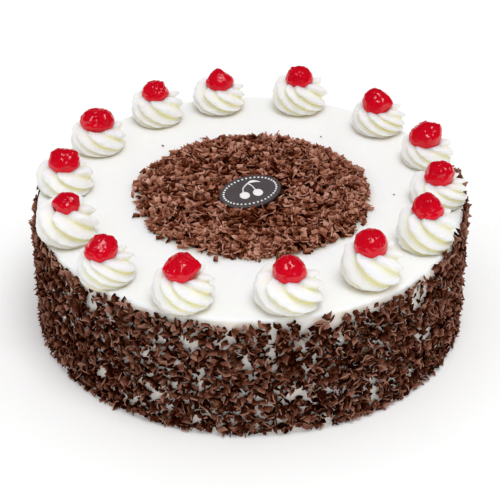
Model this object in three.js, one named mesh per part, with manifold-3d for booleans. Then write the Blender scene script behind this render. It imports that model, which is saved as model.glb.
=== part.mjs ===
// A black forest cake, whole and uncut: a cream-coated round with chocolate shavings on its side,
// a ring of piped cream rosettes that each hold a glazed cherry, and a heap of shavings in the middle
// with an oval chocolate plaque on it. Millimetres, +Z up, origin at the centre of the cake's underside.
import * as THREE from "three";
import { mergeVertices } from "three/addons/utils/BufferGeometryUtils.js";
import Module from "manifold-3d";

const wasm = await Module();
wasm.setup();

// Driving dimensions of the cake
const CAKE_RADIUS = 128; // cream-coated side, under the shavings
const CAKE_HEIGHT = 79;
const RIM_ROUND = 2; // radius of the top edge
const CREAM_BAND = 4; // bare cream between the shavings and the top
const GAP = 0.3; // clearance between pieces that touch

// Chocolate shavings: a shaving is a thin plate with a crease along its middle
const SHAVING_LENGTH = 7;
const SHAVING_WIDTH = 4.2;
const SHAVING_THICKNESS = 0.8;
const SHAVING_SIZES = [0.75, 1.25]; // smallest and largest, as a share of the mean
const SHAVING_BEND = 0.5; // slope of each half, in radians
const SHAVING_SINK = 0.35; // share of its width that is buried
const SHAVING_LEAN = 0.9; // most that it leans, in radians

// The crust of shavings on the side: a grid of bumps as large as the shavings
const CRUST_COLUMNS = 98;
const CRUST_ROWS = 11;
const CRUST_DEPTH = 3;
const CRUST_LEAST = 0.25; // the lowest bump, as a share of the depth
const CRUST_JITTER = 0.5; // how far bumps stray, as a share of a grid cell
const CRUST_BARE_SHARE = 0.12; // share of the grid where the cream shows
const SIDE_SHAVINGS = 60; // whole shavings that stand out of the crust

// The heap of shavings on top
const HEAP_RADIUS = 72;
const HEAP_MIDDLE = 8;
const HEAP_EDGE = 5;
const HEAP_BUMP = 1.6;
const HEAP_DETAIL = 10; // splits of each edge of the icosahedron that the heap is pressed from
const HEAP_SHAVINGS = 26; // whole shavings that stand out of the heap
const HEAP_FOOT = 2; // how far the heap reaches below the cream before it is trimmed there

// The oval plaque: its long axis turned on the cake, its back edge raised
const PLAQUE_LENGTH = 38.5;
const PLAQUE_WIDTH = 27.5;
const PLAQUE_THICKNESS = 2.4;
const PLAQUE_BEVEL = 0.5;
const PLAQUE_TURN = THREE.MathUtils.degToRad(25);
const PLAQUE_TILT = THREE.MathUtils.degToRad(10);
const PLAQUE_CENTRE = new THREE.Vector3(0, -8, CAKE_HEIGHT + 7.5);
const BED_HEIGHT = 12; // of the cut for the plaque, through every shaving above it

// Each rosette as it was piped by hand: bearing from +X towards +Y in degrees, distance from the cake's
// axis, width and height of the cream, then the cherry on it: its width, its height over its width, how far
// it sits towards +X from the middle of the cream, and how deep the cleft in it is, as a share of its radius
const ROSETTES = [
  { bearing: 122, ring: 114, width: 34, height: 15.6, cherry: 18.4, squash: 0.92, slide: -0.8, cleft: 0.05 },
  { bearing: 100, ring: 115, width: 35, height: 14.6, cherry: 19, squash: 0.88, slide: 0.2, cleft: 0.05 },
  { bearing: 74, ring: 117, width: 36, height: 17.5, cherry: 19, squash: 0.92, slide: -0.2, cleft: 0.1 },
  { bearing: 45.5, ring: 118, width: 34.5, height: 14, cherry: 20.5, squash: 0.92, slide: -1, cleft: 0.05 },
  { bearing: 21.4, ring: 118, width: 33, height: 12.5, cherry: 21.4, squash: 0.86, slide: -1.1, cleft: 0.08 },
  { bearing: -2, ring: 113.5, width: 35, height: 13, cherry: 19, squash: 0.92, slide: -0.8, cleft: 0.05 },
  { bearing: -27, ring: 113.5, width: 34, height: 19.2, cherry: 19.6, squash: 0.95, slide: 0, cleft: 0.06 },
  { bearing: -53, ring: 112, width: 35, height: 19, cherry: 19.5, squash: 0.92, slide: -1, cleft: 0.03 },
  { bearing: -79, ring: 112, width: 39, height: 15.7, cherry: 19.4, squash: 0.92, slide: 0, cleft: 0.03 },
  { bearing: -108, ring: 116, width: 35, height: 17, cherry: 22, squash: 0.74, slide: -0.8, cleft: 0.08 },
  { bearing: -133, ring: 117.5, width: 33, height: 14, cherry: 19.8, squash: 0.9, slide: -2.2, cleft: 0.1 },
  { bearing: -157, ring: 114, width: 36, height: 18, cherry: 17, squash: 0.95, slide: -0.5, cleft: 0.12 },
  { bearing: 175, ring: 112, width: 35, height: 14.1, cherry: 20, squash: 0.84, slide: -0.2, cleft: 0.06 },
  { bearing: 148, ring: 113, width: 35, height: 14.2, cherry: 22.5, squash: 0.74, slide: -0.2, cleft: 0.2 },
];

// The star-nozzle swirl that every rosette shares
const RIDGES = 9;
const RIDGE_CREST = 0.04; // how far crests stand out, as a share of the radius
const RIDGE_GROOVE = 0.22; // how far grooves go in, as a share of the radius
const RIDGE_AT_RIM = 0.4; // share of the ridges that is left at the rim
const RIDGE_LEAN = 0.3; // how far a groove sits towards the ridge on its left, in ridge half-widths
const TWIST = THREE.MathUtils.degToRad(110); // turn of a ridge from foot to rim, clockwise from above
const ROSETTE_RINGS = [ // share of the height, share of the half-width
  [0, 0.78],
  [0.22, 0.95],
  [0.48, 1],
  [0.74, 0.95],
  [0.93, 0.84],
];
const RIM_WALL = 1.8; // cream between the cherry's seat and the outside at the rim
const SEAT_GAP = 0.9; // clearance of the seat's corners, so that its flats clear the cherry

// The glazed cherries
const CHERRY_COLUMNS = 10;
const CHERRY_RINGS = 5;
const CHERRY_LIFT = 0.22; // centre of the cherry above the rosette's rim, in cherry widths
const CHERRY_DENT = 0.06;
const CHERRY_DENTED = [-0.4, 0.4]; // heights where the dents begin and are full, in cherry radii
const CLEFT_WIDTH = 0.5; // in radians, either side of the plane that holds the Y and Z axes

const CAKE_SEED = 11;
const HEAP_SEED = 23;
const TOPPING_SEED = 37;
const UP = new THREE.Vector3(0, 0, 1);
const GOLDEN_ANGLE = Math.PI * (3 - Math.sqrt(5)); // turn that spreads a row of things evenly

const cream = new THREE.MeshStandardMaterial({ color: 0xf6f4ee, roughness: 0.55, metalness: 0 });
const coating = new THREE.MeshStandardMaterial({ color: 0x5a3a30, roughness: 0.6, metalness: 0 });
const shavings = new THREE.MeshStandardMaterial({ color: 0x6e473a, roughness: 0.6, metalness: 0 });
const glaze = new THREE.MeshStandardMaterial({ color: 0xc3101c, roughness: 0.15, metalness: 0 });
const plaqueChocolate = new THREE.MeshStandardMaterial({ color: 0x4a4046, roughness: 0.5, metalness: 0 });

// A repeatable random number between 0 and 1
function randomFrom(seed) {
  let state = seed;
  return () => {
    state = (state + 0x6d2b79f5) | 0;
    let mixed = Math.imul(state ^ (state >>> 15), 1 | state);
    mixed = (mixed + Math.imul(mixed ^ (mixed >>> 7), 61 | mixed)) ^ mixed;
    return ((mixed ^ (mixed >>> 14)) >>> 0) / 4294967296;
  };
}

// A geometry with its positions alone, its shared vertices merged
function welded(geometry) {
  geometry.deleteAttribute("normal");
  geometry.deleteAttribute("uv");
  return mergeVertices(geometry);
}

function solidOf(geometry) {
  const merged = welded(geometry);
  return new wasm.Manifold(
    new wasm.Mesh({
      numProp: 3,
      vertProperties: new Float32Array(merged.getAttribute("position").array),
      triVerts: new Uint32Array(merged.index.array),
    }),
  );
}

// The outer body of a solid, without scraps and sealed hollows, as a geometry
function geometryOf(solid) {
  const bodies = solid.decompose();
  const body = bodies.reduce((best, next) => (next.volume() > best.volume() ? next : best));
  const mesh = body.getMesh();
  const geometry = new THREE.BufferGeometry();
  geometry.setAttribute("position", new THREE.BufferAttribute(mesh.vertProperties, 3));
  geometry.setIndex(new THREE.BufferAttribute(mesh.triVerts, 1));
  return geometry;
}

// A turned body about +Z whose vertices are then moved one by one: move(vertex, row, column), with column 0
// for a point on the axis
function turned(profile, columns, move) {
  const points = profile.map(([radius, height]) => new THREE.Vector2(radius, height));
  const geometry = new THREE.LatheGeometry(points, columns);
  geometry.rotateX(Math.PI / 2);
  const position = geometry.getAttribute("position");
  const vertex = new THREE.Vector3();
  for (let i = 0; i < position.count; i += 1) {
    const row = i % points.length;
    const column = points[row].x > 0 ? Math.floor(i / points.length) % columns : 0;
    vertex.fromBufferAttribute(position, i);
    move(vertex, row, column);
    position.setXYZ(i, vertex.x, vertex.y, vertex.z);
  }
  return welded(geometry);
}

// One shaving, standing on its edge: its width along its own +Y, a share of it below height 0
function shaving(random) {
  const size = THREE.MathUtils.lerp(...SHAVING_SIZES, random());
  const run = (size * SHAVING_LENGTH * Math.cos(SHAVING_BEND)) / 2;
  const drop = (size * SHAVING_LENGTH * Math.sin(SHAVING_BEND)) / 2;
  const outline = [
    [-run, -drop],
    [-run, -drop - SHAVING_THICKNESS],
    [0, -SHAVING_THICKNESS],
    [run, -drop - SHAVING_THICKNESS],
    [run, -drop],
    [0, 0],
  ];
  const shape = new THREE.Shape(outline.map(([x, y]) => new THREE.Vector2(x, y)));
  const depth = size * SHAVING_WIDTH;
  const geometry = new THREE.ExtrudeGeometry(shape, { depth, bevelEnabled: false });
  return geometry.translate(0, 0, -SHAVING_SINK * depth);
}

// A shaving on a surface, spun about the outward direction and leaning off it
function placedShaving(random, place, outward) {
  const stand = new THREE.Object3D();
  stand.position.copy(place);
  stand.quaternion.setFromUnitVectors(UP, outward);
  stand.rotateZ(2 * Math.PI * random());
  stand.rotateX(SHAVING_LEAN * (2 * random() - 1));
  stand.updateMatrix();
  return solidOf(shaving(random).applyMatrix4(stand.matrix));
}

// The cream-coated round: the side is a crust of bumps below an uneven upper line, with whole shavings
// fused to it, spread evenly by the golden angle
function cakeGeometry() {
  const random = randomFrom(CAKE_SEED);
  const crustTop = CAKE_HEIGHT - CREAM_BAND;
  const rowHeight = crustTop / CRUST_ROWS;
  const columnWidth = (2 * Math.PI * CAKE_RADIUS) / CRUST_COLUMNS;
  const profile = [[0, 0], [CAKE_RADIUS, 0]];
  for (let row = 1; row <= CRUST_ROWS; row += 1) {
    profile.push([CAKE_RADIUS, (row - 0.5) * rowHeight]);
  }
  const rimMiddle = RIM_ROUND * (1 - Math.SQRT1_2);
  profile.push([CAKE_RADIUS, CAKE_HEIGHT - RIM_ROUND]);
  profile.push([CAKE_RADIUS - rimMiddle, CAKE_HEIGHT - rimMiddle]);
  profile.push([CAKE_RADIUS - RIM_ROUND, CAKE_HEIGHT]);
  profile.push([0, CAKE_HEIGHT]);

  const bumps = Array.from({ length: CRUST_ROWS * CRUST_COLUMNS }, () => ({
    out: random() < CRUST_BARE_SHARE ? 0 : CRUST_DEPTH * THREE.MathUtils.lerp(CRUST_LEAST, 1, random()),
    up: CRUST_JITTER * rowHeight * (random() - 0.5),
    along: CRUST_JITTER * columnWidth * (random() - 0.5),
  }));
  const crust = turned(profile, CRUST_COLUMNS, (vertex, row, column) => {
    vertex.applyAxisAngle(UP, (row * Math.PI) / CRUST_COLUMNS);
    const crustRow = row - 2;
    if (crustRow < 0 || crustRow >= CRUST_ROWS) {
      return;
    }
    const bump = bumps[crustRow * CRUST_COLUMNS + column];
    const outward = new THREE.Vector3(vertex.x, vertex.y, 0).normalize();
    const sideways = new THREE.Vector3(-outward.y, outward.x, 0);
    vertex.addScaledVector(outward, bump.out).addScaledVector(sideways, bump.along);
    vertex.z += bump.up;
  });

  let solid = solidOf(crust);
  const lowest = SHAVING_LENGTH;
  const highest = CAKE_HEIGHT - SHAVING_LENGTH;
  for (let i = 0; i < SIDE_SHAVINGS; i += 1) {
    const angle = i * GOLDEN_ANGLE;
    const height = lowest + ((highest - lowest) * (i + 0.5)) / SIDE_SHAVINGS;
    const outward = new THREE.Vector3(Math.cos(angle), Math.sin(angle), 0);
    const place = outward.clone().multiplyScalar(CAKE_RADIUS + CRUST_DEPTH / 2).setZ(height);
    solid = solid.add(placedShaving(random, place, outward));
  }
  return geometryOf(solid);
}

// The plaque in its own frame: an oval plate with eased edges, its underside at height 0
function plaqueGeometry(grow, thickness) {
  const shape = new THREE.Shape();
  const inset = PLAQUE_BEVEL - grow;
  shape.absellipse(0, 0, PLAQUE_LENGTH / 2 - inset, PLAQUE_WIDTH / 2 - inset, 0, 2 * Math.PI);
  const geometry = new THREE.ExtrudeGeometry(shape, {
    depth: thickness - 2 * PLAQUE_BEVEL,
    bevelThickness: PLAQUE_BEVEL,
    bevelSize: PLAQUE_BEVEL,
    bevelSegments: 1,
    curveSegments: 12,
  });
  return geometry.translate(0, 0, PLAQUE_BEVEL);
}

// Where the plaque lies: turned on the cake first, then its back edge raised
function plaquePlace(lower) {
  const turn = new THREE.Matrix4().makeRotationZ(PLAQUE_TURN);
  const tilt = new THREE.Matrix4().makeRotationX(PLAQUE_TILT);
  const settle = new THREE.Matrix4().makeTranslation(0, 0, -PLAQUE_THICKNESS / 2 - lower);
  const move = new THREE.Matrix4().setPosition(PLAQUE_CENTRE);
  return move.multiply(tilt).multiply(turn).multiply(settle);
}

// Height of the heap at a share of its radius
function crownAt(spread) {
  return THREE.MathUtils.lerp(HEAP_MIDDLE, HEAP_EDGE, spread * spread);
}

// The heap: an icosahedron pressed into a low round of even facets, each vertex moved as the shavings
// lie, with whole shavings fused on and a bed cut for the plaque
function heapGeometry() {
  const random = randomFrom(HEAP_SEED);
  const ball = welded(new THREE.IcosahedronGeometry(1, HEAP_DETAIL));
  const position = ball.getAttribute("position");
  for (let i = 0; i < position.count; i += 1) {
    const bearing = Math.atan2(position.getY(i), position.getX(i));
    const spread = Math.sqrt(1 - Math.abs(position.getZ(i)));
    const radius = spread * (HEAP_RADIUS + HEAP_BUMP * (2 * random() - 1));
    const top = crownAt(spread) + HEAP_BUMP * (2 * random() - 1);
    const height = position.getZ(i) > 0 ? top : -HEAP_FOOT;
    position.setXYZ(i, radius * Math.cos(bearing), radius * Math.sin(bearing), height);
  }
  let solid = solidOf(ball.translate(0, 0, CAKE_HEIGHT));

  for (let i = 0; i < HEAP_SHAVINGS; i += 1) {
    const spread = Math.sqrt((i + 0.5) / HEAP_SHAVINGS);
    const place = new THREE.Vector3(HEAP_RADIUS * spread, 0, CAKE_HEIGHT + crownAt(spread));
    place.applyAxisAngle(UP, i * GOLDEN_ANGLE);
    solid = solid.add(placedShaving(random, place, UP));
  }

  const bed = plaqueGeometry(GAP, BED_HEIGHT).applyMatrix4(plaquePlace(GAP));
  const below = new THREE.BoxGeometry(2 * CAKE_RADIUS, 2 * CAKE_RADIUS, CAKE_HEIGHT);
  below.translate(0, 0, CAKE_HEIGHT / 2);
  return geometryOf(solid.subtract(solidOf(bed)).subtract(solidOf(below)));
}

// A rosette in its own frame, standing on height 0: a star-shaped swirl whose ridges turn as they rise,
// with a seat in its top for the cherry
function rosetteGeometry({ width, height, cherry, squash, slide }, phase) {
  const seatRadius = cherry / 2 + SEAT_GAP;
  const seatDepth = (cherry / 2) * squash + SEAT_GAP;
  const lift = CHERRY_LIFT * cherry;
  const seatAt = (depth) => seatRadius * Math.sqrt(1 - ((lift + depth) / seatDepth) ** 2);
  const middle = (seatDepth - lift) / 2;
  const outside = ROSETTE_RINGS.map(([rise, reach]) => [(reach * width) / 2, rise * height]);
  const profile = [
    [0, 0],
    ...outside,
    [seatAt(0) + RIM_WALL, height],
    [seatAt(0), height],
    [seatAt(middle), height - middle],
    [0, height + lift - seatDepth],
  ];
  const lastRidged = outside.length + 1;
  return turned(profile, 2 * RIDGES, (vertex, row, column) => {
    const crest = column % 2 === 0;
    if (row > lastRidged) {
      vertex.applyAxisAngle(UP, phase - TWIST);
      vertex.x += slide;
      return;
    }
    const share = row === lastRidged ? RIDGE_AT_RIM : 1;
    const scale = 1 + share * (crest ? RIDGE_CREST : -RIDGE_GROOVE);
    vertex.x *= scale;
    vertex.y *= scale;
    const lean = crest ? 0 : (RIDGE_LEAN * Math.PI) / RIDGES;
    vertex.applyAxisAngle(UP, phase + lean - (TWIST * vertex.z) / height);
  });
}

// A cherry in its own frame, centred on 0: a squashed ball with dents in its upper part and a cleft
function cherryGeometry({ cherry, squash, cleft }, random) {
  const radius = cherry / 2;
  const profile = [];
  for (let ring = 0; ring <= CHERRY_RINGS + 1; ring += 1) {
    const angle = (Math.PI * ring) / (CHERRY_RINGS + 1);
    const onAxis = ring === 0 || ring === CHERRY_RINGS + 1;
    profile.push([onAxis ? 0 : radius * Math.sin(angle), -radius * squash * Math.cos(angle)]);
  }
  const dents = Array.from({ length: profile.length * CHERRY_COLUMNS }, () => CHERRY_DENT * random());
  return turned(profile, CHERRY_COLUMNS, (vertex, row, column) => {
    const fromCleft = Math.atan2(vertex.x, Math.abs(vertex.y)) / CLEFT_WIDTH;
    const upper = THREE.MathUtils.smoothstep(vertex.z / radius, ...CHERRY_DENTED);
    const dent = dents[row * CHERRY_COLUMNS + column] + cleft * Math.exp(-fromCleft * fromCleft);
    vertex.multiplyScalar(1 - upper * dent);
  });
}

function piece(name, geometry, material) {
  const mesh = new THREE.Mesh(geometry, material);
  mesh.name = name;
  return mesh;
}

const blackForestCake = new THREE.Group();
blackForestCake.add(piece("cake", cakeGeometry(), coating));
blackForestCake.add(piece("shavings_heap", heapGeometry(), shavings));

const plaque = piece("plaque", plaqueGeometry(0, PLAQUE_THICKNESS), plaqueChocolate);
plaque.applyMatrix4(plaquePlace(0));
blackForestCake.add(plaque);

const toppingRandom = randomFrom(TOPPING_SEED);
ROSETTES.forEach((rosette, index) => {
  const number = String(index + 1).padStart(2, "0");
  const bearing = THREE.MathUtils.degToRad(rosette.bearing);
  const stand = new THREE.Group();
  stand.position.set(rosette.ring * Math.cos(bearing), rosette.ring * Math.sin(bearing), CAKE_HEIGHT);
  stand.add(piece(`rosette_${number}`, rosetteGeometry(rosette, 2 * Math.PI * toppingRandom()), cream));
  const cherry = piece(`cherry_${number}`, cherryGeometry(rosette, toppingRandom), glaze);
  cherry.position.set(rosette.slide, 0, rosette.height + CHERRY_LIFT * rosette.cherry);
  stand.add(cherry);
  blackForestCake.add(stand);
});

export default blackForestCake;
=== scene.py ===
"""Looks of a whole black forest cake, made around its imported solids. Metres, +Z up, seen from the -Y side."""
import math

import bpy
import numpy as np
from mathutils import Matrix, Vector, noise


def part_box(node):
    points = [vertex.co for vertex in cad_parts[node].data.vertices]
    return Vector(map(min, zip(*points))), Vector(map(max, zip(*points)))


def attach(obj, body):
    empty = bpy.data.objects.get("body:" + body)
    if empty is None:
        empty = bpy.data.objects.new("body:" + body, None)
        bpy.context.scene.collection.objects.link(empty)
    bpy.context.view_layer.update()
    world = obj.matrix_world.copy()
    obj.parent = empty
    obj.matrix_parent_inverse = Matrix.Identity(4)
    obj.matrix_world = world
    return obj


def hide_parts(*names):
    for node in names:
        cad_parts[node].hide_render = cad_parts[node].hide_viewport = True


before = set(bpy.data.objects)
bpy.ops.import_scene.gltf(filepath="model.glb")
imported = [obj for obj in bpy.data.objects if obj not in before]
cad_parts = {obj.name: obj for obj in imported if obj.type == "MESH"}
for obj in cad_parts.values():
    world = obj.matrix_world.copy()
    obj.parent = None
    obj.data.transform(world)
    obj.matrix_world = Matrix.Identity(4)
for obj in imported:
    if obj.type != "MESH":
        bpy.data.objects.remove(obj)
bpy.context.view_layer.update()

MM = 0.001
TOPPINGS = range(1, 15)  # numbers of the rosettes and of the cherries on them
NOISE_SHIFT = (7.31, 3.17, 5.53)  # between the noises of two seeds

# The photograph's view, with the lens and the sensor in mm
CAMERA_ELEVATION = math.radians(33.35)
CAMERA_DISTANCE = 1.0
CAMERA_TARGET = Vector((0, 0, 40 * MM))
CAMERA_LENS = 116.8
CAMERA_SENSOR = 36
CAMERA_REACH = 50

# Light and floor
SKY_STRENGTH = 0.70
SOFTBOX_PLACE = (0.4, -0.7, 2.8)
SOFTBOX_SIZE = 1.5
SOFTBOX_POWER = 33.5
FLOOR_HALF = 4.0

# The cream-coated round
CREAM_RADIUS = 128 * MM
CREAM_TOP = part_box("cake")[1].z
CREAM_ROUND = 1.9 * MM  # of the top edge
CREAM_EASE = 1 * MM  # of the lower edge
CREAM_FIRST_ROW = 4 * MM
CREAM_LAST_RING = 4 * MM
CREAM_SIDE_ROWS = 16
CREAM_RIM_ROWS = 9
CREAM_TOP_RINGS = 60
CREAM_COLUMNS = 288
COAT_WAVE = 0.35 * MM
# Painted shade on the coat: warm brown beside the heap, paler around the rosettes' feet, and on the side
# between the shavings
SHADE_WIDTH = 5 * MM
HEAP_SHADE = 0.6
SIDE_SHADE = 0.5
ROSETTE_SHADE = 0.3
ROSETTE_COVER = 0.8  # share of a rosette's half width from which its painted shade fades

# Chocolate shavings, curled and flat: ranges in mm, the radius being that of the curl
CURL = {"length": (3.2, 5.8), "width": (2.5, 4.5), "radius": (2.1, 7.8), "stations": 5}
FLAKE = {"length": (2.4, 4.6), "width": (2.1, 3.8), "radius": (3.0, 10.3), "stations": 4}
CRUMB = {"length": (0.7, 1.6), "width": (0.5, 1.2), "radius": (2.0, 5.0), "stations": 3}
SHAVING_THICKNESS = (0.35, 0.65)
SHAVING_TAPER = (0, 0.65)  # share of its width that a shaving loses along its length
SHAVING_NICKS = (0.88, 1.0)  # share of that width left at each station
SHAVING_SWERVE = (-0.5, 0.5)  # sideways drift along its length, as a share of its width
SHAVING_SKEW = (-0.28, 0.28)  # slant of its ends, as a share of its length
SHAVING_CREASE = math.radians(40)
FLOOR_GAP = 0.2 * MM

# Tones of the chocolate, from painted deep shade to painted light on shavings that stand out, the heap's palest
# a painted sheen
# The side's tones are darker than the heap's, a painted shade on the same chocolate
SIDE_TONES = [
    (0.08, (0.010, 0.0008, 0.0002)),
    (0.3, (0.027, 0.005, 0.002)),
    (0.5, (0.080, 0.0215, 0.0096)),
    (0.75, (0.20, 0.076, 0.047)),
    (0.95, (0.39, 0.20, 0.145)),
]
HEAP_TONES = [
    (0.08, (0.018, 0.0015, 0.0004)),
    (0.3, (0.068, 0.012, 0.0042)),
    (0.5, (0.217, 0.068, 0.035)),
    (0.75, (0.435, 0.195, 0.131)),
    (0.95, (0.67, 0.39, 0.30)),
]
SIDE_EDGE_TONE = 0.1  # how much paler a broken edge is than a face, a painted highlight along the edges
# On the heap a broken edge is a little darker than a face
HEAP_EDGE_TONE = -0.05
# Painted shade and light on the shavings: the deepest are darkened, those that stand out made paler
TONE_INSIDE = -0.1
TONE_RISE = 0.85  # from deep inside to where a shaving stands out
TONE_SPREAD = (-0.37, 0.37)  # between single shavings
MOST_OUTNESS = 1.2

# Scattered pieces: kind of shaving, places tried, range of depths, spread of the facing, and seed
SIDE_SCATTERS = {
    "side_curls": (CURL, 5500, (0.35, 0.95), 1.0, 5),
    "side_flakes": (FLAKE, 7100, (0.05, 0.5), 0.5, 6),
}
HEAP_SCATTERS = {
    "heap_curls": (CURL, 2700, (0.6, 0.95), 0.6, 15),
    "heap_flakes": (FLAKE, 3400, (0.3, 0.7), 0.5, 16),
}

# Shavings on the side
SIDE_TOP = CREAM_TOP - 4.2 * MM
SIDE_TOP_SHIFT = {  # how far the upper line of the side's shavings rises, in mm, by bearing in degrees
    0: 6.5, 15: 5.0, 35: -1.0, 60: -6.0, 140: -6.0, 170: -1.5, 200: 1.5,
    225: 2.5, 250: -0.3, 290: -0.3, 322: 0.8, 330: 3.5, 343: 6.5, 360: 6.5,
}
SIDE_RAGGED = 1.2 * MM  # of that line
SIDE_DEPTH = 3.0 * MM
SIDE_REACH = 1.2 * SIDE_DEPTH
SIDE_JITTER = (-0.7, 1.7)  # place in a cell of the grid, in cells
# Painted light on the shavings along the side's upper line
SIDE_LINE_WIDTH = 6 * MM
SIDE_LINE_LIGHT = 0.5
PATCHES = 100  # waves of thinner cover in a metre
PATCH_COVER = 1.38
PATCH_SWING = 2.5
PATCH_LEAST = 0.35

# The heap of shavings
HEAP_AXIS = (2.2 * MM, 1.0 * MM)
HEAP_RADIUS = 70.5 * MM
HEAP_EDGE = 4.0 * MM  # its height at the edge
HEAP_MIDDLE = 7.6 * MM  # its height in the middle
HEAP_LOWEST = 1.2 * MM  # height of its lowest shavings
HEAP_SLOPE = 6 * MM  # width of its sloping edge
HEAP_DRAWN_IN = 1.4 * MM
HEAP_RAGGED = 1.8 * MM
HEAP_SCATTER = 1.5 * MM
HEAP_UPPER = 0.92  # share of its height where shavings begin to stand out
HEAP_UPPER_OUTNESS = 0.7
HEAP_FADE = 3.6 * MM
STRAYS = 0.03
STRAY_REACH = 6 * MM
CORE_RADIUS = HEAP_RADIUS - 3.5 * MM
CORE_SLOPE = 9 * MM
CORE_SHARE = 0.45  # of the heap's height
CORE_SINK = 0.5 * MM
CORE_BUMP = 0.7 * MM
CORE_ROWS = 26
CORE_COLUMNS = 160

# Crumbs
CRUMBS = 5
CRUMB_RING = (76, 124)  # mm from the cake's axis
CRUMB_LIFT = 0.4 * MM
CRUMB_SPREAD = 0.3
CRUMB_OUTNESS = 0.6
CRUMB_SEED = 25

# The plaque
PLAQUE_TURN = math.radians(25)
PLAQUE_TILT = math.radians(10)
PLAQUE_HALF = (19.25 * MM, 13.75 * MM)
PLAQUE_THICKNESS = 2.4 * MM
PLAQUE_EASE = 0.6 * MM
PLAQUE_CROWN = 0.25 * MM
PLAQUE_COLUMNS = 96
PLAQUE_CREASE = math.radians(50)
PLAQUE_COVER = 0.97  # square of the share of its half widths under which shavings stay low
PLAQUE_GAP = 0.2 * MM

# Icing on the plaque, with paths and middles in mm in its frame
BORDER_DOTS = 40
BORDER_HALF = (16.6 * MM, 11.1 * MM)
DOT = {"radius": 0.7 * MM, "height": 0.4 * MM, "sides": 8}
ICED_FRUIT = {"radius": 3.3 * MM, "height": 0.6 * MM, "sides": 20}
ICED_FRUIT_MIDDLES = [(-4.6, -2.6), (3.6, -3.4)]
STALKS = [[(-4.4, 0.2), (-2.8, 3.6), (1.4, 6.6)], [(3.2, -0.6), (2.9, 3.2), (1.4, 6.6)]]
STALK_WIDTHS = (1.0, 0.85, 1.1)
LEAF = [(1.4, 6.6), (4.0, 7.2), (6.6, 6.4), (9.0, 4.6)]
LEAF_WIDTHS = (0.4, 2.2, 2.6, 1.4, 0.3)
STROKE_HEIGHT = 0.35 * MM
ICING_SINK = 0.02 * MM
ICING_CREASE = math.radians(60)

# Piped rosettes
ROSETTE_DRAWN_IN = 0.968  # share of the solid's half width, which leaves room for the ridges' flare
ROSETTE_FOOT = {  # the radius of each rosette where it stands, as a share of its half width
    1: 0.87, 2: 0.76, 3: 0.72, 4: 0.76, 5: 0.87, 6: 0.88, 7: 0.90,
    8: 0.72, 9: 0.73, 10: 0.74, 11: 0.90, 12: 0.83, 13: 0.86, 14: 0.82,
}
# Outline up to the widest part: shares of the way out from the foot, and of the height
ROSETTE_SWELL = [(-0.05, -0.07), (0.0, 0.02), (0.5, 0.10), (0.85, 0.20)]
# Outline from the widest part up: shares of the half width and of the height
ROSETTE_OUTLINE = [(0.985, 0.36), (0.965, 0.56), (0.925, 0.76), (0.86, 0.92), (0.76, 1.03)]
ROSETTE_TWIST = math.radians(190)
ROSETTE_ROWS = 44
ROSETTE_CREASE = math.radians(75)
ROSETTE_SEED = 100
ROSETTE_CLEAR = 0.9  # share of a rosette's half width that shavings keep out of
ROSETTE_SINK = 0.4 * MM
CROWN_RISE = 1.12  # height of the crown around the cherry, as a share of the rosette's
CROWN_START = 0.75  # rise from which the crown follows the cherry's axis
SEAT_ROWS = 6
SEAT_TIGHT = 0.95
FOOT_RISE = 0.3  # up to which the cream is painted darker and yellower, a painted shade under the rosette's swell
FOOT_SHADE = 0.9

# Ridges of the rosettes, with tables by the rise from 0 at the foot to 1 at the crown
RIDGES = (7, 8, 9)
RIDGE_COLUMNS = 20
RIDGE_WIDTHS = (0.7, 1.4)
RIDGE_STRENGTHS = (0.65, 1.3)
RIDGE_ROUND = 0.8
RIDGE_LEAN = 0.24  # the most that a crest leans sideways, as a share of the ridges' pitch
RIDGE_LEANING = {0: 0.3, 0.2: 1, 0.7: 1, 1: 0.4}
GROOVE_DEPTH = {0: 0.09, 0.15: 0.13, 0.35: 0.155, 0.8: 0.165, 0.92: 0.14, 1: 0.05}
CREST_FLARE = {0: 0, 0.4: 0.02, 0.75: 0.06, 0.9: 0.07, 1: 0.02}
CREST_LIFT = {0: 0, 0.3: 0.02, 0.7: 0.08, 0.9: 0.12, 1: 0.07}
CREST_MEAN = 0.35
# Unevenness of the cream: waves in a metre, seed, mm all over and mm more on a crest
RIDGE_WOBBLES = [(90, 0, 0.7, 0), (330, 40, 0.15, 0.65), (800, 20, 0, 0.42)]

# Glazed cherries
CHERRY_COLUMNS = 80
CHERRY_ROWS = 48
CHERRY_GROW = 1.03
CHERRY_SWELL = 0.05
CHERRY_FOLDS = [(0.14, 2.7, 60), (0.09, 5.0, 80)]  # depth as a share of the radius, waves, seed
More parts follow.
